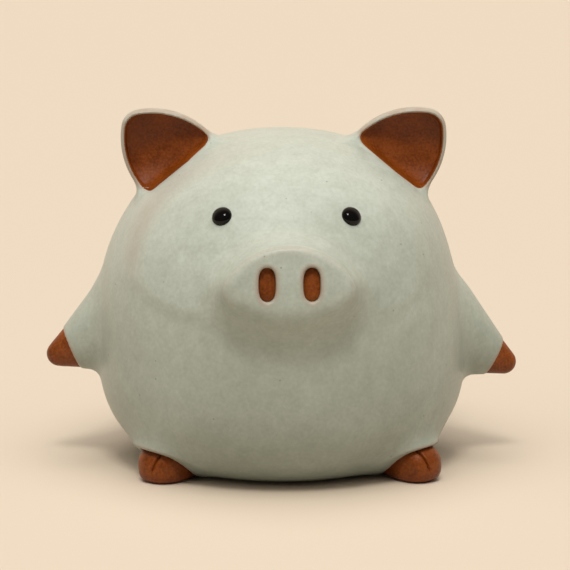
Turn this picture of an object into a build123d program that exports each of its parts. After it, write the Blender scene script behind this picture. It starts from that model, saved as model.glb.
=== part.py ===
from build123d import *
import os
from math import asin, atan2, cos, degrees, radians, sin, sqrt

# A hollow stoneware pig, in millimetres. +Z is up and the pig faces -Y, so its own left side is +X.
# The origin is the middle of the flat base. Every applied piece is cut by the body, so that it sits on it.

# Body and head, one round form: a squarish dome over a rounded bottom that the base cuts off flat
body_width = 70.0
base_width = 43.0
belly_height = 21.0  # where the body is widest
crown_height = 63.5
squareness = 2.4  # exponent of the superellipse that gives the outline: 2 is an ellipse, more is squarer
outline_steps = 8  # points along the dome, and along the bottom
wall = 4.5

# Slab let into the bottom, and its kiln vent
slab_diameter = 34.0
slab_thickness = 5.0
vent_bore = 3.0
vent_setback = 9.0

# Eyes, beads pressed into sockets
eye_diameter = 3.5
eye_spacing = 23.5
eye_height = 51.0
eye_dome = 1.1
eye_sink = 1.4

# Snout, a rounded lens that narrows towards its flat front
snout_width = 26.4
snout_rise = 8.8  # above the widest line
snout_drop = 4.8
snout_corner = 3.6
snout_height = 38.6  # of the widest line, where the snout meets the face
snout_length = 7.0
snout_shoulder = 4.8  # where its sides turn in towards the front
snout_shoulder_scale = 0.98
snout_front_scale = 0.92
snout_tilt = 8.0
snout_root = 8.0

# Nostrils, clay ovals at the bottom of two pits
nostril_width = 3.2
nostril_length = 6.1
nostril_spacing = 7.9
nostril_lift = 1.6
nostril_pit = 1.5
nostril_inlay = 1.4

# Ears, petals dished in front
ear_spread = 20.4  # of the middle of each root from the mid-plane
ear_front = 4.0  # of the rim, ahead of the mid-plane
ear_lean = 39.0
ear_root_width = 19.0
ear_root_depth = 6.0
ear_length = 13.6
ear_tip_shift = 1.5
ear_tip_radius = 3.0
ear_outer_bulge = 1.4
ear_inner_bulge = 2.3
ear_thickness = 6.0
ear_shoulder = 3.4
ear_shoulder_scale = 0.93
ear_back_scale = 0.72
ear_rim = 0.8
dish_depth = 3.6
dish_radius = 15.0
dish_lift = 5.0
lining_thickness = 1.0

# Arms, round cones with bare ends
arm_reach = 10.0  # beyond the widest part of the body
arm_end_height = 19.9
arm_droop = 27.0
arm_length = 17.2  # between the centres of its two round ends
arm_root_radius = 10.7
arm_end_radius = 2.2
hoof_length = 4.2

# Feet, clay pads under the belly, each with a cleft
foot_width = 9.2
foot_length = 12.8
foot_thickness = 8.6
foot_centre_height = 3.0
foot_reach = 5.7  # of the pad's middle beyond the edge of the base
foot_azimuth = 54.0  # of the pad's middle, from straight ahead
foot_splay = 43.0
cleft_width = 0.7
cleft_length = 5.0
cleft_depth = 0.8

# Tail, a curl on the rump
tail_height = 24.0
tail_curl_radius = 3.2
tail_radius = 1.5
tail_end_radius = 1.7  # rounded ends, a little fuller than the curl
tail_lift = 0.7
tail_start = 100.0  # of the curl's first end, round from the pig's right
tail_turn = 290.0


# Half outline of the body from a floor up to its crown, drawn in all over by an inset
def body_outline(inset, floor):
    closing = (1 - (base_width / body_width) ** squareness) ** (1 / squareness)
    half_width = body_width / 2 - inset
    bottom = belly_height / closing - inset
    dome = crown_height - inset - belly_height
    power = 2 / squareness
    floor_turn = asin(((belly_height - floor) / bottom) ** (1 / power))
    points = []
    for step in range(outline_steps):
        turn = floor_turn * (1 - step / outline_steps)
        points.append((half_width * cos(turn) ** power, belly_height - bottom * sin(turn) ** power))
    for step in range(outline_steps):
        turn = radians(90) * step / outline_steps
        points.append((half_width * cos(turn) ** power, belly_height + dome * sin(turn) ** power))
    points.append((0, belly_height + dome))
    side = Spline(*points)
    middle_and_floor = Polyline(points[-1], (0, floor), points[0])
    return make_face(side + middle_and_floor)


def body_form(inset, floor):
    return revolve(Plane.XZ * body_outline(inset, floor), Axis.Z)


# Where a line into the body first meets it
def surface_point(body, start, direction):
    hits = body.shell().find_intersection_points(Axis(start, direction))
    return min(hits, key=lambda hit: (hit[0] - Vector(start)).length)


def front_point(body, x, z):
    return surface_point(body, (x, -2 * body_width, z), (0, 1, 0))


def slab_form():
    return Cylinder(slab_diameter / 2, slab_thickness, align=(Align.CENTER, Align.CENTER, Align.MIN))


def base_slab():
    return slab_form() - Pos(0, vent_setback, 0) * Cylinder(vent_bore / 2, 4 * slab_thickness)


def eye(body):
    radius = eye_diameter / 2
    dome_radius = (radius**2 + eye_dome**2) / (2 * eye_dome)
    seat = Polyline((0, eye_dome), (0, -eye_sink), (radius, -eye_sink), (radius, 0))
    dome = RadiusArc((0, eye_dome), (radius, 0), dome_radius)
    bead = revolve(Plane.XZ * make_face(seat + dome), Axis.Z)
    point, normal = front_point(body, eye_spacing / 2, eye_height)
    return Plane(point, z_dir=normal) * bead


def snout_plane(body):
    point, _ = front_point(body, 0, snout_height)
    tilt = radians(snout_tilt)
    return Plane(point, x_dir=(1, 0, 0), z_dir=(0, -cos(tilt), sin(tilt)))


def snout_outline():
    half = snout_width / 2
    top = ThreePointArc((half, 0), (0, snout_rise), (-half, 0))
    bottom = ThreePointArc((-half, 0), (0, -snout_drop), (half, 0))
    lens = make_face(top + bottom)
    return fillet(lens.vertices(), snout_corner)


# Solid through one outline at several places along z, scaled to the share given for each
def tapered(outline, stations):
    return loft([Pos(0, 0, z) * scale(outline, by=share) for z, share in stations.items()])


def snout(body, pits):
    stations = {-snout_root: 1, 0: 1, snout_shoulder: snout_shoulder_scale, snout_length: snout_front_scale}
    return snout_plane(body) * tapered(snout_outline(), stations) - body - pits


# One nostril oval, between two depths behind the snout's front
def nostril_oval(body, near, far):
    oval = Ellipse(nostril_width / 2, nostril_length / 2)
    prism = extrude(oval, far - near)
    return snout_plane(body) * Pos(nostril_spacing / 2, nostril_lift, snout_length - far) * prism


def ear_plane(body):
    point, _ = surface_point(body, (ear_spread, -ear_front, 2 * crown_height), (0, 0, -1))
    lean = radians(ear_lean)
    return Plane(point, x_dir=(cos(lean), 0, -sin(lean)), z_dir=(0, -1, 0))


# Petal on the ear's own plane: its root along x, its tip up y, the outer side at +x
def ear_outline():
    half = ear_root_width / 2
    outer_root = (half, 0)
    inner_root = (-half, 0)
    tip = (ear_tip_shift, ear_length)
    root = Polyline(inner_root, (-half, -ear_root_depth), (half, -ear_root_depth), outer_root)
    outer_side = SagittaArc(outer_root, tip, -ear_outer_bulge)
    inner_side = SagittaArc(tip, inner_root, -ear_inner_bulge)
    petal = make_face(root + outer_side + inner_side)
    return fillet(petal.vertices().sort_by(Axis.Y)[-1], ear_tip_radius)


def ear_pieces(body):
    stations = {0: 1, -ear_shoulder: ear_shoulder_scale, -ear_thickness: ear_back_scale}
    dish_centre = Pos(0, dish_lift, dish_radius - dish_depth) * Rot(90, 0, 0)
    inside_share = 1 - 2 * ear_rim / ear_root_width
    inside = extrude(scale(ear_outline(), by=inside_share), ear_thickness, both=True)
    hollow = inside & (dish_centre * Sphere(dish_radius + lining_thickness))
    lining = hollow - dish_centre * Sphere(dish_radius)
    place = ear_plane(body)
    ear = tapered(ear_outline(), stations) - hollow
    return place * ear - body, place * lining - body


# Round cone along x from its root end, turned down at the shoulder and parted where the glaze stops
def arm_pieces(body):
    rise = asin((arm_root_radius - arm_end_radius) / arm_length)
    tangent = Vector(sin(rise), cos(rise))
    root_edge = tangent * arm_root_radius
    end_edge = Vector(arm_length, 0) + tangent * arm_end_radius
    root_arc = CenterArc((0, 0), arm_root_radius, 180, -90 - degrees(rise))
    side = Line(root_edge, end_edge)
    end_arc = CenterArc((arm_length, 0), arm_end_radius, 90 - degrees(rise), degrees(rise) - 90)
    middle = Line((arm_length + arm_end_radius, 0), (-arm_root_radius, 0))
    cone = revolve(make_face(root_arc + side + end_arc + middle), Axis.X)
    glaze_edge = Plane.YZ.offset(arm_length + arm_end_radius - hoof_length)
    droop = radians(arm_droop)
    end = Vector(body_width / 2 + arm_reach - arm_end_radius, 0, arm_end_height)
    root = end - Vector(cos(droop), 0, -sin(droop)) * arm_length
    place = Pos(root) * Rot(0, arm_droop, 0)
    arm = place * split(cone, glaze_edge, Keep.BOTTOM) - body
    return arm, place * split(cone, glaze_edge, Keep.TOP)


def foot(body):
    half = Vector(0, foot_length / 2, foot_thickness / 2)
    pad = scale(Sphere(1), by=(foot_width / 2, half.Y, half.Z))
    slope = degrees(atan2(half.Z, half.Y))
    toe = Vector(0, -half.Y, half.Z) * sqrt(0.5)
    cleft = Pos(toe) * Rot(slope, 0, 0) * Box(cleft_width, cleft_length, 2 * cleft_depth)
    middle = Vector(0, -base_width / 2 - foot_reach, foot_centre_height).rotate(Axis.Z, foot_azimuth)
    place = Pos(middle) * Rot(0, 0, foot_splay)
    below = Pos(0, 0, -foot_thickness) * Box(2 * body_width, 2 * body_width, 2 * foot_thickness)
    return place * (pad - cleft) - below - body


def tail(body):
    curl = Torus(tail_curl_radius, tail_radius, major_angle=tail_turn)
    for turn in (0, tail_turn):
        curl += Rot(0, 0, turn) * Pos(tail_curl_radius, 0, 0) * Sphere(tail_end_radius)
    seat = Pos(0, 0, tail_lift) * Rot(0, 0, tail_start)
    point, normal = surface_point(body, (0, 2 * body_width, tail_height), (0, -1, 0))
    return Plane(point, x_dir=(-1, 0, 0), z_dir=normal) * seat * curl - body


body = body_form(0, 0)
cavity = body_form(wall, slab_thickness)
left_eye = eye(body)
left_pit = nostril_oval(body, 0, nostril_pit + nostril_inlay)
left_ear, left_ear_lining = ear_pieces(body)
left_arm, left_arm_hoof = arm_pieces(body)

paired = {
    "eye": left_eye,
    "nostril": nostril_oval(body, nostril_pit, nostril_pit + nostril_inlay),
    "ear": left_ear,
    "ear_lining": left_ear_lining,
    "arm": left_arm,
    "arm_hoof": left_arm_hoof,
    "foot": foot(body),
}
pieces = {"left_" + name: piece for name, piece in paired.items()}
pieces |= {"right_" + name: mirror(piece, about=Plane.YZ) for name, piece in paired.items()}

shell = body - cavity - slab_form() - pieces["left_eye"] - pieces["right_eye"]
pieces["front_shell"] = split(shell, Plane.XZ, Keep.TOP)
pieces["back_shell"] = split(shell, Plane.XZ, Keep.BOTTOM)
pieces["base_slab"] = base_slab()
pieces["snout"] = snout(body, left_pit + mirror(left_pit, about=Plane.YZ))
pieces["tail"] = tail(body)

os.makedirs("parts", exist_ok=True)
for name, piece in pieces.items():
    export_step(piece, f"parts/{name}.step")
    print(name, len(piece.solids()), "solid", round(piece.volume, 1), "mm3")
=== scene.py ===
from math import atan, cos, pi, radians, sin
import bpy
import numpy as np
import openvdb
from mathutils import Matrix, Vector


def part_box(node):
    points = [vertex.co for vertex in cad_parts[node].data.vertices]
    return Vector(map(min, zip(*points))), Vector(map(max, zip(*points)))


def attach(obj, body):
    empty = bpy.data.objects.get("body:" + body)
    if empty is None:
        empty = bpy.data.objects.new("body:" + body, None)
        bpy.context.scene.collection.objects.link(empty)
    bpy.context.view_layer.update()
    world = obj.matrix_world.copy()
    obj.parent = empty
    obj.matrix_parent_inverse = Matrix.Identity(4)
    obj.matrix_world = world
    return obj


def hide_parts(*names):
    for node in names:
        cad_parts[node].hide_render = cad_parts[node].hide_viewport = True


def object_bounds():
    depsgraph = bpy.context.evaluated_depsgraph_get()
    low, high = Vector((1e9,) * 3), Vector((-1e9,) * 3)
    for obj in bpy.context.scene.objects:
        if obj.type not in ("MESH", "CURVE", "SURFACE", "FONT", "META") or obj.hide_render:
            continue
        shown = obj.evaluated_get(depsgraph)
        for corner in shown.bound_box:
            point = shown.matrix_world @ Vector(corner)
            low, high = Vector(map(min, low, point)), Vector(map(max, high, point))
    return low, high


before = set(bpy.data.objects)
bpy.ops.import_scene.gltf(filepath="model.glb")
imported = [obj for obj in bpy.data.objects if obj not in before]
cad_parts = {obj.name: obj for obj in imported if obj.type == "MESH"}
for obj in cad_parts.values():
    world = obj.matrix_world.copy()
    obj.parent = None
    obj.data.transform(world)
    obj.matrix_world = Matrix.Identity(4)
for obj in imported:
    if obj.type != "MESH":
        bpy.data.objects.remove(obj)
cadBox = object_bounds()

mm = 0.001  # the forms are worked out in millimetres, Blender's meshes are in metres


# The clay is shaped as distance fields, which run into each other the way slip smooths a join

def smoothMin(a, b, radius):
    near = np.maximum(radius - np.abs(a - b), 0) / radius
    return np.minimum(a, b) - near * near * radius / 4


def smoothMax(a, b, radius):
    return -smoothMin(-a, -b, radius)


def softStep(value, width):  # 0 to 1 across a band of the given width round zero
    t = np.clip(value / width + 0.5, 0, 1)
    return t * t * (3 - 2 * t)


# Distance to a rounded form with the given half sizes: a power of 2 is an oval, more is squarer.
# The two small sums keep its very middle from dividing by zero.
def ovalDistance(offsets, halves, power=2.0):
    shares = [np.abs(offset) / half for offset, half in zip(offsets, halves)]
    whole = (sum(share ** power for share in shares) + 1e-9) ** (1 / power)
    slope = np.sqrt(sum((share ** (power - 1) / half) ** 2 for share, half in zip(shares, halves)) + 1e-12)
    return (whole - 1) * whole ** (power - 1) / slope


def nodePoints(name):
    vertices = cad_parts[name].data.vertices
    points = np.empty(len(vertices) * 3)
    vertices.foreach_get("co", points)
    return points.reshape(-1, 3) / mm


# Body and head, one dome: its size is the shells' own
bodyForm = {
    "squareness": 2.4,
    "bellyHeight": 21.0,
    "baseRound": 2.0,  # softened edge of the foot rim
    "faceHeight": 40.0,  # widest line of the face, which stands a little proud
    "faceHalfWidth": 28.5,
    "faceDrop": 8.6,
    "faceRise": 22.0,
    "faceLift": 0.45,
    "creaseWidth": 3.6,
    "creaseShare": 0.8,  # of that lift in the middle; it fades from the right cheek to the left one
    "creaseFade": 90.0,
    "creaseLeast": 0.4,
    "creaseTop": 58.0,  # the crease runs out below this height
    "creaseTopFade": 12.0,
    "creaseSideFade": 14.0,  # and towards the sides of the body
    "lean": 0.7,  # the head was set a little towards the pig's right
    "leanHeight": 38.0,
    "leanSpread": 12.0,
}
shell = nodePoints("front_shell")
halfWidth = shell[:, 0].max()
crownHeight = shell[:, 2].max()
baseRadius = np.hypot(shell[:, 0], shell[:, 1])[shell[:, 2] < 0.01].max()
domeRise = crownHeight - bodyForm["bellyHeight"]
power = bodyForm["squareness"]
bottomDrop = bodyForm["bellyHeight"] / (1 - (baseRadius / halfWidth) ** power) ** (1 / power)


def domeHeight(radius):
    return bodyForm["bellyHeight"] + domeRise * (1 - (radius / halfWidth) ** power) ** (1 / power)


def insideFace(x, z):
    rise = z - bodyForm["faceHeight"]
    height = np.where(rise > 0, bodyForm["faceRise"], bodyForm["faceDrop"])
    return -ovalDistance((x, rise), (bodyForm["faceHalfWidth"], height))


def faceStep(x, y, z):
    form = bodyForm
    share = np.clip(form["creaseShare"] - x / form["creaseFade"], form["creaseLeast"], 1)
    share = share * np.clip((form["creaseTop"] - z) / form["creaseTopFade"], 0, 1)
    share = share * np.clip(-y / form["creaseSideFade"], 0, 1)
    return form["faceLift"] * share * softStep(insideFace(x, z), form["creaseWidth"])


def bodyField(x, y, z):
    up = z - bodyForm["bellyHeight"]
    x = x + bodyForm["lean"] * np.exp(-((z - bodyForm["leanHeight"]) / bodyForm["leanSpread"]) ** 2)
    halves = (halfWidth, np.where(up > 0, domeRise, bottomDrop))
    dome = ovalDistance((np.sqrt(x * x + y * y), up), halves, power)
    return smoothMax(dome - faceStep(x, y, z), -z, bodyForm["baseRound"])


# Arms, round cones that droop from the shoulder, the right one held a little higher
armForm = {
    "endRadius": 2.4,
    "rootRadius": 10.7,
    "length": 17.2,
    "droop": 27.0,
    "endHeight": 19.6,
    "unevenness": 1.1,  # of each end from that height, as the arms were set by hand
    "rootDrop": 0.8,  # of the left shoulder
    "flatness": 0.85,  # depth over height
    "hoofLength": 4.7,
    "hoofChange": 0.3,  # the right one is bare for this much more, the left one for as much less
    "hoofWear": 3.0,  # the bare end is full again this far past the glaze
    "hoofRoot": 1.2,  # and reaches this far under it
    "join": 2.2,
}
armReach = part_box("left_arm_hoof")[1][0] / mm - armForm["endRadius"]
armRootX = armReach - armForm["length"] * cos(radians(armForm["droop"]))
armRootZ = armForm["endHeight"] + armForm["length"] * sin(radians(armForm["droop"]))


def armPlace(x, y, z):  # distance along an arm from its root, out from its line, and the arm's length
    rootZ = armRootZ - np.where(x > 0, armForm["rootDrop"], 0)
    rise = armForm["endHeight"] - rootZ - np.where(x > 0, 1, -1) * armForm["unevenness"]
    length = np.hypot(armReach - armRootX, rise)
    px = np.abs(x) - armRootX
    pz = z - rootZ
    along = (px * (armReach - armRootX) + pz * rise) / length
    deep = y / armForm["flatness"]
    return along, np.sqrt(np.maximum(px * px + pz * pz - along * along, 0) + deep * deep), length


def armField(x, y, z):
    along, aside, length = armPlace(x, y, z)
    rootRadius = armForm["rootRadius"]
    drop = rootRadius - armForm["endRadius"]
    lean = np.sqrt(length * length - drop * drop)
    cone = (aside * lean + along * drop) / length - rootRadius
    reach = along * lean - aside * drop  # below zero is the root ball, past the length is the end ball
    rootBall = np.sqrt(aside * aside + along * along) - rootRadius
    endBall = np.sqrt(aside * aside + (along - length) ** 2) - armForm["endRadius"]
    return np.where(reach < 0, rootBall, np.where(reach > lean * length, endBall, cone))


def pastGlaze(x, y, z):  # distance past the glaze edge of an arm, towards its tip
    along, aside, length = armPlace(x, y, z)
    bare = armForm["hoofLength"] - np.where(x > 0, 1, -1) * armForm["hoofChange"]
    return along - length - armForm["endRadius"] + bare


# Ears, petals dished in front for the bare clay lining
earForm = {
    "spread": 20.4,
    "unevenness": 0.5,  # the left ear stands out by this much more
    "front": 4.0,
    "lean": 39.0,
    "rootOuter": 8.2,  # reach of the root to either side of its middle
    "rootInner": 8.8,
    "length": 13.0,
    "tipShift": 1.5,
    "tipRound": 2.0,
    "outerBulge": 1.9,
    "innerBulge": 2.3,
    "thickness": 6.0,
    "backRadius": 24.0,
    "edgeRound": 2.2,
    "frontRound": 1.0,
    "rootDepth": 9.0,
    "rim": 0.9,
    "dishRadius": 15.0,
    "dishDepth": 3.6,
    "dishLift": 5.0,
    "dishBroad": 0.8,  # the bowl is wider than it is tall
    "dishSteep": 1.3,  # and comes forward faster towards its straight lower edge
    "dishTurn": 1.4,
    "dishEdge": 0.4,
    "rootLine": -0.9,  # height of that edge
    "cornerRound": 1.8,  # at both ends of it
    "liningThickness": 1.0,
    "join": 3.0,
}
earAcross = (cos(radians(earForm["lean"])), -sin(radians(earForm["lean"])))
earRootHeight = domeHeight(np.hypot(earForm["spread"], earForm["front"]))


def sideArc(start, end, bulge):  # centre and radius of the arc that bulges to the left of start to end
    across = np.subtract(end, start)
    chord = np.hypot(*across)
    radius = (chord * chord / 4 + bulge * bulge) / (2 * bulge)
    left = np.array([-across[1], across[0]]) / chord
    return (np.add(start, end) / 2 - left * (radius - bulge)), radius


def earPlace(x, y, z):
    px = np.abs(x) - earForm["spread"] - np.where(x > 0, earForm["unevenness"], 0)
    pz = z - earRootHeight
    across = px * earAcross[0] + pz * earAcross[1]
    up = -px * earAcross[1] + pz * earAcross[0]
    return across, up, -y - earForm["front"]


earTip = (earForm["tipShift"], earForm["length"])
earOuterArc = sideArc(earTip, (earForm["rootOuter"], 0), earForm["outerBulge"])
earInnerArc = sideArc((-earForm["rootInner"], 0), earTip, earForm["innerBulge"])


def petal(across, up):
    sides = []
    for centre, radius in (earOuterArc, earInnerArc):
        sides.append(np.sqrt((across - centre[0]) ** 2 + (up - centre[1]) ** 2) - radius)
    return smoothMax(sides[0], sides[1], earForm["tipRound"])


def ball(across, up, ahead, middle, radius):
    return np.sqrt(across ** 2 + (up - earForm["dishLift"]) ** 2 + (ahead - middle) ** 2) - radius


def earField(x, y, z):
    across, up, ahead = earPlace(x, y, z)
    back = ball(across, up, ahead, earForm["backRadius"] - earForm["thickness"], earForm["backRadius"])
    solid = smoothMax(petal(across, up), back, earForm["edgeRound"])
    solid = smoothMax(solid, ahead, earForm["frontRound"])
    return smoothMax(solid, -up - earForm["rootDepth"], earForm["frontRound"])


def earDish(x, y, z):
    across, up, ahead = earPlace(x, y, z)
    lift = earForm["dishLift"]
    low = lift - (lift - up) * np.where(up < lift, earForm["dishSteep"], 1)
    radius = earForm["dishRadius"]
    bowl = ball(across * earForm["dishBroad"], low, ahead, radius - earForm["dishDepth"], radius)
    bowl = smoothMax(bowl, earForm["rootLine"] - up, earForm["dishTurn"])
    outline = smoothMax(petal(across, up) + earForm["rim"], earForm["rootLine"] - up, earForm["cornerRound"])
    return smoothMax(bowl, outline, earForm["dishEdge"])


# Snout, a broad lens-shaped muzzle with a flat front and two nostril pits
snoutForm = {
    "halfWidth": 13.6,
    "rise": 9.4,
    "drop": 9.0,
    "cornerRound": 3.0,
    "height": 38.4,
    "length": 7.0,
    "tilt": 8.0,
    "frontShare": 0.92,
    "frontDropShare": 0.5,  # the underside slopes back to the chin
    "ridgeRound": 1.3,  # crisp along the top of the front
    "lipSoftness": 2.4,  # softer along its sides and the lower lip
    "nostrilWidth": 3.1,
    "nostrilLength": 6.1,
    "nostrilSquareness": 2.6,
    "nostrilSpacing": 8.0,
    "nostrilHeight": 40.2,
    "nostrilPit": 1.5,
    "floorThickness": 1.2,
    "floorHollow": 0.25,
    "floorOverlap": 0.05,
    "lipRound": 0.6,
    "rootDepth": 7.0,
    "rootRound": 1.0,
    "join": 4.8,
}
snoutTilt = radians(snoutForm["tilt"])
snoutRise = (snoutForm["height"] - bodyForm["bellyHeight"]) / domeRise
snoutBack = -halfWidth * (1 - snoutRise ** power) ** (1 / power)


def snoutPlace(y, z):  # height on the snout's own plane, and distance ahead of it
    py = y - snoutBack
    pz = z - snoutForm["height"]
    return py * sin(snoutTilt) + pz * cos(snoutTilt), -py * cos(snoutTilt) + pz * sin(snoutTilt)


def snoutField(x, y, z):
    form = snoutForm
    up, ahead = snoutPlace(y, z)
    along = np.clip(ahead / form["length"], 0, 1)
    half = form["halfWidth"] * (1 - (1 - form["frontShare"]) * along)
    arcs = []
    for height, front, side in ((form["rise"], form["frontShare"], 1),
                                (form["drop"], form["frontDropShare"], -1)):
        height = height * (1 - (1 - front) * along)
        radius = (half ** 2 + height ** 2) / (2 * height)
        arcs.append(np.sqrt(x * x + (up - side * (height - radius)) ** 2) - radius)
    lens = smoothMax(arcs[0], arcs[1], form["cornerRound"])
    crisp = softStep(up - form["rise"] / 2, form["rise"])
    edge = form["lipSoftness"] + (form["ridgeRound"] - form["lipSoftness"]) * crisp
    front = smoothMax(lens, ahead - form["length"], edge)
    return smoothMax(front, -ahead - form["rootDepth"], form["rootRound"])


def nostrilOval(x, y, z):  # distance to a nostril's outline, and depth behind the snout's front
    up, ahead = snoutPlace(y, z)
    lift = (snoutForm["nostrilHeight"] - snoutForm["height"]) / cos(snoutTilt)
    offsets = (np.abs(x) - snoutForm["nostrilSpacing"] / 2, up - lift)
    halves = (snoutForm["nostrilWidth"] / 2, snoutForm["nostrilLength"] / 2)
    return ovalDistance(offsets, halves, snoutForm["nostrilSquareness"]), snoutForm["length"] - ahead


# Feet, bare pads that widen upwards, under a glazed haunch
footForm = {
    "halves": (4.7, 6.8, 4.4),  # across, along and up
    "squareness": 2.44,
    "azimuth": 54.0,  # of the pad's middle, from straight ahead
    "splay": 36.7,
    "reach": 6.2,  # of the pad's middle beyond the edge of the base
    "unevenness": 1.3,  # the left foot stands out by this much more, the right one by as much less
    "sizeChange": 0.04,  # the right foot is larger by this share, the left one smaller
    "height": 2.95,
    "glazeGap": 0.22,  # the glaze draws back from the pad and leaves a dark line
    "soleRound": 1.0,
    "cleftPlace": -1.8,  # across the pad
    "cleftLean": 0.35,
    "cleftTop": 5.6,
    "cleftLow": 2.2,
    "cleftWidth": 0.4,
    "cleftDepth": 0.65,
    "cleftEnd": 1.0,
    "cleftEdge": 0.4,
    "haunch": (8.3, 5.9, 9.1),
    "haunchHeight": 11.6,
    "haunchReach": 2.2,
    "ankleLine": 7.5,  # above it the glaze runs down onto the pad
    "ankleCoat": 0.4,
    "ankleRound": 0.8,
    "ankleJoin": 3.0,
    "join": 6.0,
}


# Distance across a foot or haunch from its middle, and out along it
def footPlace(x, y, reach, uneven):
    bearing = radians(footForm["azimuth"])
    splay = radians(footForm["splay"])
    far = baseRadius + reach + np.where(x > 0, uneven, -uneven)
    px = np.abs(x) - far * sin(bearing)
    py = y + far * cos(bearing)
    return px * cos(splay) + py * sin(splay), px * sin(splay) - py * cos(splay)


def padField(x, y, z):
    across, out = footPlace(x, y, footForm["reach"], footForm["unevenness"])
    size = 1 - np.where(x > 0, 1, -1) * footForm["sizeChange"]
    halves = [half * size for half in footForm["halves"]]
    pad = ovalDistance((across, out, z - footForm["height"]), halves, footForm["squareness"])
    return smoothMax(pad, -z, footForm["soleRound"])


def haunchField(x, y, z):
    across, out = footPlace(x, y, footForm["haunchReach"], footForm["unevenness"] / 2)
    haunch = ovalDistance((across, out, z - footForm["haunchHeight"]), footForm["haunch"])
    ankle = padField(x, y, z) - footForm["ankleCoat"]
    ankle = smoothMax(ankle, footForm["ankleLine"] - z, footForm["ankleRound"])
    return smoothMin(haunch, ankle, footForm["ankleJoin"])


# Tail, a tapering curl on the rump
tailForm = {
    "height": 24.0,
    "curlRadius": 3.2,
    "rootRadius": 1.7,
    "endRadius": 1.15,
    "lift": 0.65,
    "start": 100.0,
    "turn": 290.0,
    "join": 1.4,
}
tailRise = (tailForm["height"] - bodyForm["bellyHeight"]) / domeRise
tailBack = halfWidth * (1 - tailRise ** power) ** (1 / power)


def tailField(x, y, z):
    aside = -x
    up = z - tailForm["height"]
    out = y - tailBack - tailForm["lift"]
    turn = np.mod(np.arctan2(up, aside) - radians(tailForm["start"]), 2 * pi)
    spare = (radians(tailForm["turn"]) + 2 * pi) / 2
    share = np.clip(np.where(turn > spare, 0, turn) / radians(tailForm["turn"]), 0, 1)
    bearing = radians(tailForm["start"]) + share * radians(tailForm["turn"])
    fromCurlX = aside - tailForm["curlRadius"] * np.cos(bearing)
    fromCurlZ = up - tailForm["curlRadius"] * np.sin(bearing)
    thick = tailForm["rootRadius"] + (tailForm["endRadius"] - tailForm["rootRadius"]) * share
    return np.sqrt(fromCurlX ** 2 + fromCurlZ ** 2 + out ** 2) - thick


# Base slab, let into a pocket in the bottom, with its kiln vent
slabForm = {"edgeRound": 0.8, "ventRadius": 1.5, "ventSetback": 9.0, "ventRound": 0.7}
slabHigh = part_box("base_slab")[1]
slabRadius = slabHigh[0] / mm
slabTop = slabHigh[2] / mm


def slabField(x, y, z):
    disc = smoothMax(np.sqrt(x * x + y * y) - slabRadius, -z, slabForm["edgeRound"])
    disc = smoothMax(disc, z - slabTop, slabForm["edgeRound"])
    vent = np.sqrt(x * x + (y - slabForm["ventSetback"]) ** 2) - slabForm["ventRadius"]
    return smoothMax(disc, -vent, slabForm["ventRound"])


# The glazed coat as a whole, with the bare places cut out of it
glazeForm = {
    "coat": 0.2,  # bare clay lies this much lower than the coat beside it
    "edge": 0.3,  # softness of the coat's edges
    "armEdge": 0.5,
    "baseEdge": 0.6,
    "pitSpare": 0.4,  # room behind the nostril floors
    "slabSpare": 0.1,  # and round the base slab
}


def glazedField(x, y, z):
    clay = smoothMin(bodyField(x, y, z), haunchField(x, y, z), footForm["join"])
    clay = smoothMin(clay, armField(x, y, z), armForm["join"])
    clay = smoothMin(clay, earField(x, y, z), earForm["join"])
    clay = smoothMin(clay, snoutField(x, y, z), snoutForm["join"])
    clay = smoothMin(clay, tailField(x, y, z), tailForm["join"])
    oval, depth = nostrilOval(x, y, z)
    edge = glazeForm["edge"]
    pit = smoothMax(oval, depth - snoutForm["nostrilPit"] - glazeForm["pitSpare"], edge)
    clay = smoothMax(clay, -pit, snoutForm["lipRound"])
    clay = smoothMax(clay, pastGlaze(x, y, z), glazeForm["armEdge"])
    clay = smoothMax(clay, footForm["glazeGap"] - padField(x, y, z), edge)
    clay = smoothMax(clay, glazeForm["coat"] - earDish(x, y, z), edge)
    pocket = np.maximum(np.sqrt(x * x + y * y) - slabRadius, z - slabTop) - glazeForm["slabSpare"]
    clay = smoothMax(clay, -pocket, edge)
    return smoothMax(clay, -z, glazeForm["baseEdge"])


def hoofField(x, y, z):
    past = pastGlaze(x, y, z)
    worn = glazeForm["coat"] * np.clip(1 - past / armForm["hoofWear"], 0, 1)
    return smoothMax(armField(x, y, z) + worn, -past - armForm["hoofRoot"], glazeForm["edge"])


def liningField(x, y, z):
    dish = earDish(x, y, z)
    solid = smoothMin(bodyField(x, y, z), earField(x, y, z), earForm["join"]) + glazeForm["coat"]
    solid = smoothMax(solid, -dish, glazeForm["edge"])
    return smoothMax(solid, dish - earForm["liningThickness"], glazeForm["edge"])


def footField(x, y, z):
    across, out = footPlace(x, y, footForm["reach"], footForm["unevenness"])
    pad = padField(x, y, z)
    lean = footForm["cleftLean"] * (footForm["cleftTop"] - z)
    cleft = np.abs(across - footForm["cleftPlace"] - lean) - footForm["cleftWidth"] / 2
    cleft = smoothMax(cleft, footForm["cleftLow"] - z, footForm["cleftEnd"])
    cleft = smoothMax(cleft, -out, glazeForm["edge"])
    cleft = smoothMax(cleft, -pad - footForm["cleftDepth"], glazeForm["edge"])
    return smoothMax(pad, -cleft, footForm["cleftEdge"])


def nostrilField(x, y, z):
    oval, depth = nostrilOval(x, y, z)
    face = snoutForm["nostrilPit"] - depth - snoutForm["floorHollow"] * np.clip(-oval, 0, 1)
    plug = smoothMax(oval - snoutForm["floorOverlap"], face, glazeForm["edge"])
    back = depth - snoutForm["nostrilPit"] - snoutForm["floorThickness"]
    return smoothMax(plug, back, glazeForm["edge"])


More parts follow.
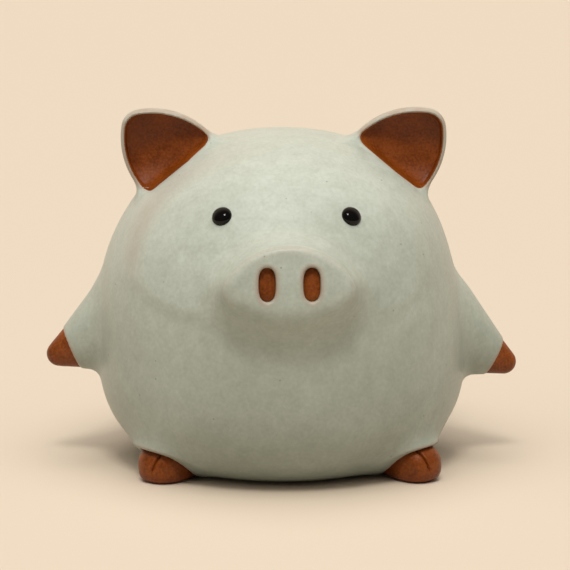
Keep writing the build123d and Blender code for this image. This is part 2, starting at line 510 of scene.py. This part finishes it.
def fieldSlope(field, points, reach):
    slope = np.empty_like(points)
    for axis in range(3):
        step = np.zeros(3)
        step[axis] = reach
        slope[:, axis] = (field(*(points + step).T) - field(*(points - step).T)) / (2 * reach)
    return slope


# Turns a field to a mesh of even quads, then draws each point onto the surface in a few rounds
drawRounds = 3
leastSlope = 0.05  # of the slope squared: keeps a point from being thrown far where a field is nearly level


def meshField(field, low, high, step):
    axes = [np.arange(a, b + step, step) for a, b in zip(low, high)]
    values = field(*np.meshgrid(*axes, indexing="ij", sparse=True))
    grid = openvdb.FloatGrid(step)
    grid.copyFromArray(np.ascontiguousarray(values, dtype=np.float32))
    points, quads = grid.convertToQuads(0.0)
    points = points * step + np.array(low)
    for _ in range(drawRounds):
        slope = fieldSlope(field, points, step / 4)
        size = np.maximum((slope ** 2).sum(1), leastSlope)
        move = slope * (field(*points.T) / size)[:, None]
        points = points - np.clip(move, -step / 2, step / 2)
    slope = fieldSlope(field, points, step / 4)
    return points, quads, slope / np.linalg.norm(slope, axis=1)[:, None]


# How sharply the clay turns: glaze runs thin off an edge and pools in a hollow
def bend(field, points, reach):
    total = -6 * field(*points.T)
    for axis in range(3):
        step = np.zeros(3)
        step[axis] = reach
        total = total + field(*(points + step).T) + field(*(points - step).T)
    return total / reach ** 2


def addObject(name, data):
    made = bpy.data.objects.new(name, data)
    bpy.context.scene.collection.objects.link(made)
    return made


def makePiece(name, points, faces, normals, material, nodes, marks=None):
    mesh = bpy.data.meshes.new(name)
    mesh.from_pydata((points * mm).tolist(), [], faces)
    for label, values in (marks or {}).items():
        layer = mesh.attributes.new(label, "FLOAT", "POINT")
        layer.data.foreach_set("value", values.astype(np.float32))
    mesh.polygons.foreach_set("use_smooth", [True] * len(mesh.polygons))
    if normals is not None:
        mesh.normals_split_custom_set_from_vertices(normals.tolist())
    mesh.materials.append(material)
    piece = addObject(name, mesh)
    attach(piece, "root")
    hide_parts(*nodes)


# Materials

def linear(hexColour):
    parts = [int(hexColour[i:i + 2], 16) / 255 for i in (1, 3, 5)]
    return tuple(c / 12.92 if c < 0.04045 else ((c + 0.055) / 1.055) ** 2.4 for c in parts) + (1.0,)


def addNode(tree, kind, inputs, **settings):
    made = tree.nodes.new("ShaderNode" + kind)
    for name, value in settings.items():
        setattr(made, name, value)
    for name, value in inputs.items():
        if isinstance(value, bpy.types.NodeSocket):
            tree.links.new(value, made.inputs[name])
        else:
            made.inputs[name].default_value = value
    return made


noiseReach = (0.3, 0.7)  # most of a noise pattern lies between these


def newMaterial(name):
    material = bpy.data.materials.new(name)
    material.use_nodes = True
    tree = material.node_tree
    place = addNode(tree, "TexCoord", {})
    inMm = addNode(tree, "VectorMath", {0: place.outputs["Object"], "Scale": 1 / mm}, operation="SCALE")
    return material, tree, tree.nodes["Principled BSDF"], inMm.outputs[0]


# Stoneware celadon, dipped and reduction fired: a satin grey-green coat that breaks to a pinkish
# brown where it is thin on edges, lies bluer where it pools, and is mottled and finely crackled
celadonGlaze = {
    "coat": "#B8BBA9",
    "pale": "#CED1C1",
    "dull": "#A3A694",
    "thin": "#B59C86",
    "pool": "#A5AE9F",
    "speck": "#8A775C",
    "mottleSize": 2.6,  # pattern sizes in mm
    "cloudSize": 16.0,
    "grainSize": 0.7,  # fine curdle of the glaze
    "paintedLightFrom": 18.0,  # painted light: the coat is painted paler from here up to the crown and duller below it, standing in for the stronger light on top
    "paintedLightFull": 54.0,
    "paintedLightShare": 1.0,
    "tones": (1.1, 2.8),  # sums of the patterns that give the dull and the pale tone
    "breakFull": 0.6,  # a thin place that is this strong breaks fully
    "breakShare": 0.85,
    "crackleSize": 3.4,
    "crackleWidth": 0.035,  # of a cell, wider than the true hairline so that it shows
    "crackleShare": 0.12,
    "speckSize": 1.5,
    "speckWidth": (0.16, 0.08),  # where a speck starts and is full, in cells
    "speckShare": 0.6,
    "speckRarity": 0.93,  # share of the cells that have none
    "roughness": (0.31, 0.43),
    "ior": 1.5,
    "relief": 0.06,  # mm
    "reliefShare": 0.35,
}


def celadon():
    look = celadonGlaze
    material, tree, shader, inMm = newMaterial("stoneware_celadon_glazed")
    mottle = addNode(tree, "TexNoise", {"Vector": inMm, "Scale": 1 / look["mottleSize"], "Detail": 3.0})
    cloud = addNode(tree, "TexNoise", {"Vector": inMm, "Scale": 1 / look["cloudSize"], "Detail": 2.0})
    grain = addNode(tree, "TexNoise", {"Vector": inMm, "Scale": 1 / look["grainSize"], "Detail": 4.0})
    tones = addNode(tree, "Math", {0: mottle.outputs["Fac"], 1: cloud.outputs["Fac"]}, operation="ADD")
    tones = addNode(tree, "Math", {0: tones.outputs[0], 1: grain.outputs["Fac"]}, operation="ADD")
    parted = addNode(tree, "SeparateXYZ", {0: inMm})
    # Painted light: the tone turns paler with height, standing in for the top light and the shade lower down
    depth = addNode(tree, "MapRange", {"Value": parted.outputs["Z"], "From Min": look["paintedLightFrom"],
                                       "From Max": look["paintedLightFull"], "To Max": look["paintedLightShare"]})
    tones = addNode(tree, "Math", {0: tones.outputs[0], 1: depth.outputs[0]}, operation="ADD")
    spread = addNode(tree, "MapRange", {"Value": tones.outputs[0], "From Min": look["tones"][0],
                                        "From Max": look["tones"][1]})
    ramp = addNode(tree, "ValToRGB", {"Fac": spread.outputs[0]})
    ramp.color_ramp.elements[0].color = linear(look["dull"])
    ramp.color_ramp.elements[1].color = linear(look["pale"])
    ramp.color_ramp.elements.new(0.5).color = linear(look["coat"])
    colour = ramp.outputs["Color"]
    thin = addNode(tree, "Attribute", {}, attribute_name="thin")
    pool = addNode(tree, "Attribute", {}, attribute_name="pool")
    broken = addNode(tree, "Math", {0: thin.outputs["Fac"], 1: mottle.outputs["Fac"]}, operation="MULTIPLY")
    broken = addNode(tree, "MapRange", {"Value": broken.outputs[0], "From Max": look["breakFull"],
                                        "To Max": look["breakShare"]})
    cells = addNode(tree, "TexVoronoi", {"Vector": inMm, "Scale": 1 / look["speckSize"]})
    rare = addNode(tree, "SeparateColor", {"Color": cells.outputs["Color"]})
    rare = addNode(tree, "Math", {0: rare.outputs[0], 1: look["speckRarity"]}, operation="GREATER_THAN")
    dot = addNode(tree, "MapRange", {"Value": cells.outputs["Distance"], "From Min": look["speckWidth"][0],
                                     "From Max": look["speckWidth"][1], "To Max": look["speckShare"]})
    speck = addNode(tree, "Math", {0: rare.outputs[0], 1: dot.outputs[0]}, operation="MULTIPLY")
    crackle = addNode(tree, "TexVoronoi", {"Vector": inMm, "Scale": 1 / look["crackleSize"]},
                      feature="DISTANCE_TO_EDGE")
    line = addNode(tree, "MapRange", {"Value": crackle.outputs["Distance"], "From Min": look["crackleWidth"],
                                      "From Max": 0.0, "To Max": look["crackleShare"]})
    for factor, tint in ((broken.outputs[0], "thin"), (pool.outputs["Fac"], "pool"),
                         (speck.outputs[0], "speck"), (line.outputs[0], "dull")):
        mixed = addNode(tree, "Mix", {0: factor, 6: colour, 7: linear(look[tint])}, data_type="RGBA")
        colour = mixed.outputs[2]
    tree.links.new(colour, shader.inputs["Base Color"])
    satin = addNode(tree, "MapRange", {"Value": mottle.outputs["Fac"], "From Min": noiseReach[0],
                                       "From Max": noiseReach[1], "To Min": look["roughness"][0],
                                       "To Max": look["roughness"][1]})
    tree.links.new(satin.outputs[0], shader.inputs["Roughness"])
    height = addNode(tree, "Math", {0: grain.outputs["Fac"], 1: mottle.outputs["Fac"]}, operation="ADD")
    bump = addNode(tree, "Bump", {"Height": height.outputs[0], "Strength": look["reliefShare"],
                                  "Distance": look["relief"] * mm})
    tree.links.new(bump.outputs[0], shader.inputs["Normal"])
    shader.inputs["IOR"].default_value = look["ior"]
    return material


# Iron-rich stoneware, left bare and wiped: a dry red-brown body that flashes darker in patches and
# shows a fine sandy grain
bareClay = {
    "body": "#843F0D",
    "dark": "#6A3008",
    "warm": "#984D18",
    "patchSize": 4.5,
    "grainSize": 0.45,  # sand, drawn coarser than it is so that it shows
    "tones": (0.72, 1.28),
    "roughness": (0.32, 0.52),
    "sheen": 0.32,  # open clay scatters much of its gloss
    "ior": 1.48,
    "relief": 0.1,  # mm
    "reliefShare": 0.5,
}


def clayBody():
    look = bareClay
    material, tree, shader, inMm = newMaterial("iron_stoneware_bare")
    patch = addNode(tree, "TexNoise", {"Vector": inMm, "Scale": 1 / look["patchSize"], "Detail": 4.0})
    grain = addNode(tree, "TexNoise", {"Vector": inMm, "Scale": 1 / look["grainSize"], "Detail": 3.0})
    tones = addNode(tree, "Math", {0: patch.outputs["Fac"], 1: grain.outputs["Fac"]}, operation="ADD")
    spread = addNode(tree, "MapRange", {"Value": tones.outputs[0], "From Min": look["tones"][0],
                                        "From Max": look["tones"][1]})
    ramp = addNode(tree, "ValToRGB", {"Fac": spread.outputs[0]})
    ramp.color_ramp.elements[0].color = linear(look["dark"])
    ramp.color_ramp.elements[1].color = linear(look["warm"])
    ramp.color_ramp.elements.new(0.5).color = linear(look["body"])
    tree.links.new(ramp.outputs["Color"], shader.inputs["Base Color"])
    dry = addNode(tree, "MapRange", {"Value": patch.outputs["Fac"], "From Min": noiseReach[0],
                                     "From Max": noiseReach[1], "To Min": look["roughness"][0],
                                     "To Max": look["roughness"][1]})
    tree.links.new(dry.outputs[0], shader.inputs["Roughness"])
    bump = addNode(tree, "Bump", {"Height": grain.outputs["Fac"], "Strength": look["reliefShare"],
                                  "Distance": look["relief"] * mm})
    tree.links.new(bump.outputs[0], shader.inputs["Normal"])
    shader.inputs["IOR"].default_value = look["ior"]
    shader.inputs["Specular IOR Level"].default_value = look["sheen"]
    return material


# Black iron glaze, melted to a bead: a wet black gloss with a trace of brown where it runs thin
blackGlaze = {
    "deep": "#060606",
    "brown": "#120D09",
    "cloudSize": 1.2,
    "roughness": 0.10,
    "gloss": 0.25,
    "ior": 1.52,
}


def beadGlaze():
    look = blackGlaze
    material, tree, shader, inMm = newMaterial("black_iron_glazed")
    cloud = addNode(tree, "TexNoise", {"Vector": inMm, "Scale": 1 / look["cloudSize"], "Detail": 2.0})
    ramp = addNode(tree, "ValToRGB", {"Fac": cloud.outputs["Fac"]})
    ramp.color_ramp.elements[0].color = linear(look["deep"])
    ramp.color_ramp.elements[1].color = linear(look["brown"])
    tree.links.new(ramp.outputs["Color"], shader.inputs["Base Color"])
    shader.inputs["Roughness"].default_value = look["roughness"]
    shader.inputs["IOR"].default_value = look["ior"]
    shader.inputs["Specular IOR Level"].default_value = look["gloss"]
    return material


glaze = celadon()
clay = clayBody()
bead = beadGlaze()
print("materials made")


# Glazed coat, parted into the pieces that were luted together. The parting lines lie under one
# unbroken coat, so the points and normals along them are shared and don't show.
glazeStep = 0.42
glazeRoom = 1.0  # of air round the solids, so that the coat closes inside the grid
glazeMarks = {
    "reach": 0.7,  # mm over which the turn of the clay is felt
    "thinFrom": 0.35,  # turns of the clay, in 1/mm
    "thinSpan": 1.0,
    "poolFrom": 0.12,
    "poolSpan": 0.5,
    "foldShare": 0.55,  # the glaze also runs thin along the fold of the right cheek
    "foldWidth": 1.4,
    "foldFade": 25.0,
    "foldHeight": 40.0,
    "foldRise": 8.0,
}
boxLow, boxHigh = (np.array(corner) / mm for corner in cadBox)
points, quads, normals = meshField(glazedField, boxLow - glazeRoom, boxHigh + glazeRoom, glazeStep)
turning = bend(glazedField, points, glazeMarks["reach"])
px, py, pz = points.T
fold = np.exp(-(insideFace(px, pz) / glazeMarks["foldWidth"]) ** 2)
fold = fold * np.clip(-px / glazeMarks["foldFade"], 0, 1)
fold = fold * (py < 0) * softStep(pz - glazeMarks["foldHeight"], glazeMarks["foldRise"])
thinMark = np.clip((turning - glazeMarks["thinFrom"]) / glazeMarks["thinSpan"], 0, 1)
thinMark = np.maximum(thinMark, glazeMarks["foldShare"] * fold)
poolMark = np.clip((-turning - glazeMarks["poolFrom"]) / glazeMarks["poolSpan"], 0, 1)
print("glazed coat:", len(points), "points", len(quads), "faces")

middles = points[quads].mean(axis=1)
mx, my, mz = middles.T
nearest = np.argmin([smoothMin(bodyField(mx, my, mz), haunchField(mx, my, mz), footForm["join"]),
                     armField(mx, my, mz), earField(mx, my, mz), snoutField(mx, my, mz),
                     tailField(mx, my, mz)], axis=0)
isLeft = mx > 0
glazedPieces = {
    "frontShell": ((nearest == 0) & (my < 0), "front_shell"),
    "backShell": ((nearest == 0) & (my >= 0), "back_shell"),
    "leftArm": ((nearest == 1) & isLeft, "left_arm"),
    "rightArm": ((nearest == 1) & ~isLeft, "right_arm"),
    "leftEar": ((nearest == 2) & isLeft, "left_ear"),
    "rightEar": ((nearest == 2) & ~isLeft, "right_ear"),
    "glazedSnout": (nearest == 3, "snout"),
    "curledTail": (nearest == 4, "tail"),
}


# Closes a piece where it was luted on: each open loop of edges runs to one point inside the clay
luteDepth = 8.0


def luted(points, quads, normals):
    edges = np.concatenate([quads[:, [corner, (corner + 1) % 4]] for corner in range(4)])
    there = edges[:, 0] * len(points) + edges[:, 1]
    back = edges[:, 1] * len(points) + edges[:, 0]
    rim = edges[~np.isin(there, back)]
    loop = np.arange(len(points))
    settled = False
    while not settled:
        lowest = np.minimum(loop[rim[:, 0]], loop[rim[:, 1]])
        settled = (loop[rim] == lowest[:, None]).all()
        np.minimum.at(loop, rim[:, 0], lowest)
        np.minimum.at(loop, rim[:, 1], lowest)
    faces = quads.tolist()
    for first in np.unique(loop[rim[:, 0]]):
        own = rim[loop[rim[:, 0]] == first]
        lean = normals[own[:, 0]].mean(axis=0)
        points = np.vstack([points, points[own[:, 0]].mean(axis=0) - luteDepth * lean])
        normals = np.vstack([normals, -lean / np.linalg.norm(lean)])
        faces += [(b, a, len(points) - 1) for a, b in own.tolist()]
    return points, faces, normals


for name, (chosen, node) in glazedPieces.items():
    used, faces = np.unique(quads[chosen], return_inverse=True)
    ownPoints, faces, ownNormals = luted(points[used], faces.reshape(-1, 4), normals[used])
    spare = len(ownPoints) - len(used)
    marks = {"thin": np.append(thinMark[used], np.zeros(spare)),
             "pool": np.append(poolMark[used], np.zeros(spare))}
    print(name, len(faces), "faces", spare, "luted loops")
    makePiece(name, ownPoints, faces, ownNormals, glaze, [node], marks)
print("glazed pieces parted")


# Bare clay pieces, each meshed in a box round its own place, which leaves room for the uneven setting
bareRoom = 1.6


def barePiece(name, node, field, step):
    low, high = (np.array(corner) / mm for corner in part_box(node))
    points, quads, normals = meshField(field, low - bareRoom, high + bareRoom, step)
    makePiece(name, points, quads.tolist(), normals, clay, [node])


for side in ("left", "right"):
    barePiece(side + "ArmHoof", side + "_arm_hoof", hoofField, step=0.22)
    barePiece(side + "EarLining", side + "_ear_lining", liningField, step=0.25)
    barePiece(side + "Foot", side + "_foot", footField, step=0.3)
    barePiece(side + "Nostril", side + "_nostril", nostrilField, step=0.16)
barePiece("baseSlab", "base_slab", slabField, step=0.4)
print("bare clay pieces made")


# Eyes, domed beads turned on a profile that tucks under at the rim
eyeForm = {
    "dome": 1.1,
    "under": 0.5,  # the profile turns on past the rim by this much, in radians
    "sink": 1.2,  # mm down for each radian of that
    "tuck": 0.12,  # and mm in
    "rings": 14,
    "spokes": 40,
    "rounds": 6,
    "feel": 0.2,  # mm to either side at which the face's slope is felt
}


def eyeBead(side):
    low, high = (np.array(corner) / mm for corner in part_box(side + "_eye"))
    centre = (low + high) / 2
    for _ in range(eyeForm["rounds"]):  # draws the bead's middle onto the face
        slope = fieldSlope(bodyField, centre[None], eyeForm["feel"])[0]
        centre = centre - slope * bodyField(*centre) / (slope ** 2).sum()
    out = Vector(slope).normalized()
    across = out.orthogonal().normalized()
    upward = out.cross(across)
    radius = (high[0] - low[0]) / 2
    points = [Vector(centre) + out * eyeForm["dome"]]
    faces = []
    rings = eyeForm["rings"]
    spokes = eyeForm["spokes"]
    for ring in range(1, rings + 1):
        turn = ring / rings * (pi / 2 + eyeForm["under"])
        upper = min(turn, pi / 2)
        past = turn - upper
        wide = radius * sin(upper) - past * eyeForm["tuck"]
        tall = eyeForm["dome"] * cos(upper) - past * eyeForm["sink"]
        for spoke in range(spokes):
            bearing = 2 * pi * spoke / spokes
            aside = across * cos(bearing) + upward * sin(bearing)
            points.append(Vector(centre) + out * tall + aside * wide)
    for spoke in range(spokes):
        after = (spoke + 1) % spokes
        faces.append((0, 1 + spoke, 1 + after))
        for ring in range(rings - 1):
            base = 1 + ring * spokes
            faces.append((base + spoke, base + spokes + spoke, base + spokes + after, base + after))
    faces.append(tuple(range(1 + (rings - 1) * spokes, 1 + rings * spokes))[::-1])
    makePiece(side + "Eye", np.array(points), faces, None, bead, [side + "_eye"])


for side in ("left", "right"):
    eyeBead(side)
print("eyes made")


# Floor, camera and light

# 1 for what the eye and the gloss see, 0 for the light that falls on the clay
def seenByEye(tree):
    path = addNode(tree, "LightPath", {})
    seen = addNode(tree, "Math", {0: path.outputs["Is Camera Ray"], 1: path.outputs["Is Glossy Ray"]})
    seen = addNode(tree, "Math", {0: seen.outputs[0], 1: path.outputs["Is Transmission Ray"]},
                   use_clamp=True)
    return seen.outputs[0]


# Matt paper: the eye and the gloss see its warm colour, the clay gets a plainer, weaker bounce from it
floorLook = {
    "colour": "#E5D2BA",
    "bounce": "#C2BBAF",
    "width": 6.0,  # in metres
    "roughness": 0.9,
    "gloss": 0.1,
}
half = floorLook["width"] / 2
corners = [(-half, -half, 0), (half, -half, 0), (half, half, 0), (-half, half, 0)]
floorMesh = bpy.data.meshes.new("floor")
floorMesh.from_pydata(corners, [], [(0, 1, 2, 3)])
floor = addObject("floor", floorMesh)
paper = bpy.data.materials.new("matt_paper")
paper.use_nodes = True
paperTree = paper.node_tree
tint = addNode(paperTree, "Mix", {0: seenByEye(paperTree), 6: linear(floorLook["bounce"]),
                                  7: linear(floorLook["colour"])}, data_type="RGBA")
sheet = paperTree.nodes["Principled BSDF"]
paperTree.links.new(tint.outputs[2], sheet.inputs["Base Color"])
sheet.inputs["Roughness"].default_value = floorLook["roughness"]
sheet.inputs["Specular IOR Level"].default_value = floorLook["gloss"]
floorMesh.materials.append(paper)

view = {
    "elevation": 11.0,
    "azimuth": -2.0,
    "distance": 600.0,  # mm from the point that is aimed at
    "aimHeight": 30.0,
    "aimPixel": (282, 304),  # where that point lies in the picture
    "pixels": 570,
    "mmPerPixel": 0.1911,
    "nearest": 10.0,  # nothing nearer is shown
}
tip = radians(view["elevation"])
turn = radians(view["azimuth"])
back = Vector((sin(turn) * cos(tip), -cos(turn) * cos(tip), sin(tip)))
right = Vector((cos(turn), sin(turn), 0))
upward = back.cross(right)
aim = Vector((0, 0, view["aimHeight"]))
cameraData = bpy.data.cameras.new("camera")
camera = addObject("camera", cameraData)
camera.location = (aim + back * view["distance"]) * mm
offCentre = [view["pixels"] / 2 - pixel for pixel in view["aimPixel"]]
lookAt = aim + (right * offCentre[0] - upward * offCentre[1]) * view["mmPerPixel"]
camera.rotation_euler = (lookAt * mm - camera.location).to_track_quat("-Z", "Y").to_euler()
cameraData.angle = 2 * atan(view["pixels"] / 2 * view["mmPerPixel"] / view["distance"])
cameraData.clip_start = view["nearest"] * mm
bpy.context.scene.camera = camera

# Wide soft lamps overhead, in front and at both sides give no gloss, a smaller one in front does
lamps = {
    "above": {"elevation": 82.0, "azimuth": -4.0, "spread": 60.0, "strength": 1.9, "gloss": False},
    "front": {"elevation": 48.0, "azimuth": -3.0, "spread": 30.0, "strength": 0.3, "gloss": False},
    "left": {"elevation": 40.0, "azimuth": -70.0, "spread": 60.0, "strength": 0.42, "gloss": False},
    "right": {"elevation": 40.0, "azimuth": 70.0, "spread": 60.0, "strength": 0.28, "gloss": False},
    "small": {"elevation": 58.0, "azimuth": -5.0, "spread": 12.0, "strength": 0.75, "gloss": True},
}
for name, lamp in lamps.items():
    data = bpy.data.lights.new(name, "SUN")
    data.energy = lamp["strength"]
    data.angle = radians(lamp["spread"])
    made = addObject(name, data)
    made.visible_glossy = lamp["gloss"]
    high = radians(lamp["elevation"])
    swing = radians(lamp["azimuth"])
    made.location = Vector((sin(swing) * cos(high), -cos(swing) * cos(high), sin(high)))
    made.rotation_euler = (-made.location).to_track_quat("-Z", "Y").to_euler()

# The room gives a little light; the eye and the gloss see a pale backdrop behind the object instead
room = {"light": "#FFFFFF", "strength": 0.1, "backdrop": "#F0DCC4", "backdropEdge": (-0.1, 0.4)}
world = bpy.data.worlds.new("studio")
bpy.context.scene.world = world
world.use_nodes = True
worldTree = world.node_tree
facing = addNode(worldTree, "TexCoord", {})
facing = addNode(worldTree, "SeparateXYZ", {0: facing.outputs["Generated"]})
behind = addNode(worldTree, "MapRange", {"Value": facing.outputs["Y"], "From Min": room["backdropEdge"][0],
                                         "From Max": room["backdropEdge"][1]})
seen = addNode(worldTree, "Math", {0: seenByEye(worldTree), 1: behind.outputs[0]}, operation="MULTIPLY")
backdrop = addNode(worldTree, "Background", {"Color": linear(room["backdrop"]), "Strength": 1.0})
roomLight = worldTree.nodes["Background"]
roomLight.inputs["Color"].default_value = linear(room["light"])
roomLight.inputs["Strength"].default_value = room["strength"]
shown = addNode(worldTree, "MixShader", {0: seen.outputs[0], 1: roomLight.outputs[0],
                                         2: backdrop.outputs[0]})
worldTree.links.new(shown.outputs[0], worldTree.nodes["World Output"].inputs["Surface"])
bpy.context.scene.view_settings.view_transform = "Standard"
print("floor, camera and lamps set")
